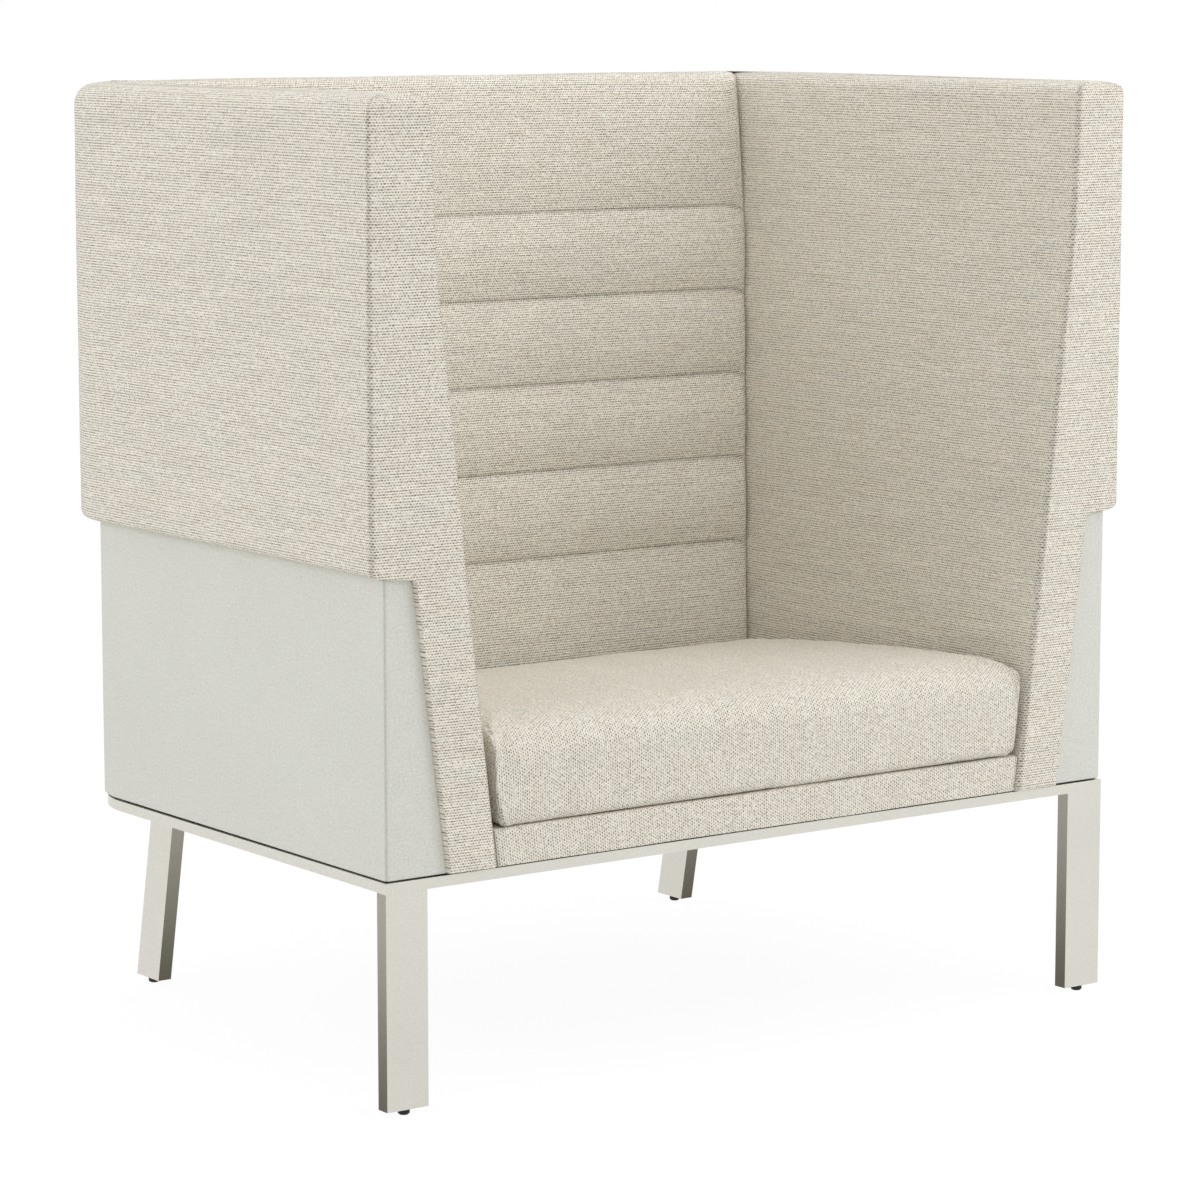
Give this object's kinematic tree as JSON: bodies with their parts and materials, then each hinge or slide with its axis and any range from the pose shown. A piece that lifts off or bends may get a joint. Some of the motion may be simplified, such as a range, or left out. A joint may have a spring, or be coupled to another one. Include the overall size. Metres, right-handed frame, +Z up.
{
  "type": "acoustic high back lounge chair",
  "caption": "High back lounge chair with padded privacy wings, a channelled backrest, a loose seat cushion, a pale lower shell and a flat steel frame on levelling feet.",
  "frame": {"origin": "on the floor under the middle of the chair", "axes": "+Z up, +Y from the front of the chair to its back, +X to the right as seen from the front; right and left in the node names are as seen from the front"},
  "size_m": [1.2, 0.8356, 1.234],
  "materials": {
    "steel": "satin, warm nickel tone",
    "woven": "coarse slubby weave, warm off-white",
    "plain": "fine plain weave, light grey",
    "plywood": "raw",
    "timber": "raw",
    "black_plastic": "matte",
    "rubber": "matte",
    "zinc": "zinc plated",
    "lining": "thin black cloth"
  },
  "bodies": {
    "chair": {"front_rail": "steel", "side_rail_right": "steel", "side_rail_left": "steel", "rear_rail": "steel", "bearer_right": "steel", "bearer_left": "steel", "cross_bearer": "steel", "front_leg_right": "steel", "front_leg_left": "steel", "rear_leg_right": "steel", "rear_leg_left": "steel", "leg_bush_front_right": "zinc", "leg_bush_front_left": "zinc", "leg_bush_rear_right": "zinc", "leg_bush_rear_left": "zinc", "strip_front": "rubber", "strip_side_right": "rubber", "strip_side_left": "rubber", "strip_rear": "rubber", "strip_bearer_right": "rubber", "strip_bearer_left": "rubber", "strip_cross": "rubber", "side_panel_right": "woven", "side_panel_left": "woven", "side_core_right": "plywood", "side_core_left": "plywood", "lower_shell_right": "plain", "lower_shell_left": "plain", "back_panel": "woven", "lower_shell_back": "plain", "backrest_pad": "woven", "back_board": "plywood", "back_rib_right": "plywood", "back_rib_left": "plywood", "seat_rail_cover": "woven", "seat_timber": "timber", "seat_deck": "plywood", "dust_cover": "lining", "seat_cushion": "woven", "bolt_front_right": "zinc", "insert_front_right": "zinc", "bolt_front_left": "zinc", "insert_front_left": "zinc", "bolt_side_right": "zinc", "insert_side_right": "zinc", "bolt_side_left": "zinc", "insert_side_left": "zinc", "bolt_rear_right": "zinc", "insert_rear_right": "zinc", "bolt_rear_left": "zinc", "insert_rear_left": "zinc"},
    "foot_front_right": {"foot_pad_front_right": "black_plastic"},
    "foot_front_left": {"foot_pad_front_left": "black_plastic"},
    "foot_rear_right": {"foot_pad_rear_right": "black_plastic"},
    "foot_rear_left": {"foot_pad_rear_left": "black_plastic"},
    "screw_front_right": {"foot_stem_front_right": "zinc"},
    "screw_front_left": {"foot_stem_front_left": "zinc"},
    "screw_rear_right": {"foot_stem_rear_right": "zinc"},
    "screw_rear_left": {"foot_stem_rear_left": "zinc"}
  },
  "joints": [
    {"name": "foot_front_right_height", "type": "slide", "parent": "chair", "child": "foot_front_right", "axis": [0, 0, -1], "range_m": [0, 0.0118]},
    {"name": "foot_front_left_height", "type": "slide", "parent": "chair", "child": "foot_front_left", "axis": [0, 0, -1], "range_m": [0, 0.0118]},
    {"name": "foot_rear_right_height", "type": "slide", "parent": "chair", "child": "foot_rear_right", "axis": [0, 0, -1], "range_m": [0, 0.0118]},
    {"name": "foot_rear_left_height", "type": "slide", "parent": "chair", "child": "foot_rear_left", "axis": [0, 0, -1], "range_m": [0, 0.0118]},
    {"name": "screw_front_right_turn", "type": "hinge", "parent": "foot_front_right", "child": "screw_front_right", "pos_m": [0.55, -0.39175, 0.01], "axis": [0, 0, 1], "range_deg": [0, 3400]},
    {"name": "screw_front_left_turn", "type": "hinge", "parent": "foot_front_left", "child": "screw_front_left", "pos_m": [-0.55, -0.39175, 0.01], "axis": [0, 0, 1], "range_deg": [0, 3400]},
    {"name": "screw_rear_right_turn", "type": "hinge", "parent": "foot_rear_right", "child": "screw_rear_right", "pos_m": [0.449, 0.38875, 0.01], "axis": [0, 0, 1], "range_deg": [0, 3400]},
    {"name": "screw_rear_left_turn", "type": "hinge", "parent": "foot_rear_left", "child": "screw_rear_left", "pos_m": [-0.449, 0.38875, 0.01], "axis": [0, 0, 1], "range_deg": [0, 3400]}
  ],
  "couplings": [
    {"joint": "screw_front_right_turn", "follows": "foot_front_right_height", "rad_per_m": 5026.5},
    {"joint": "screw_front_left_turn", "follows": "foot_front_left_height", "rad_per_m": 5026.5},
    {"joint": "screw_rear_right_turn", "follows": "foot_rear_right_height", "rad_per_m": 5026.5},
    {"joint": "screw_rear_left_turn", "follows": "foot_rear_left_height", "rad_per_m": 5026.5}
  ]
}
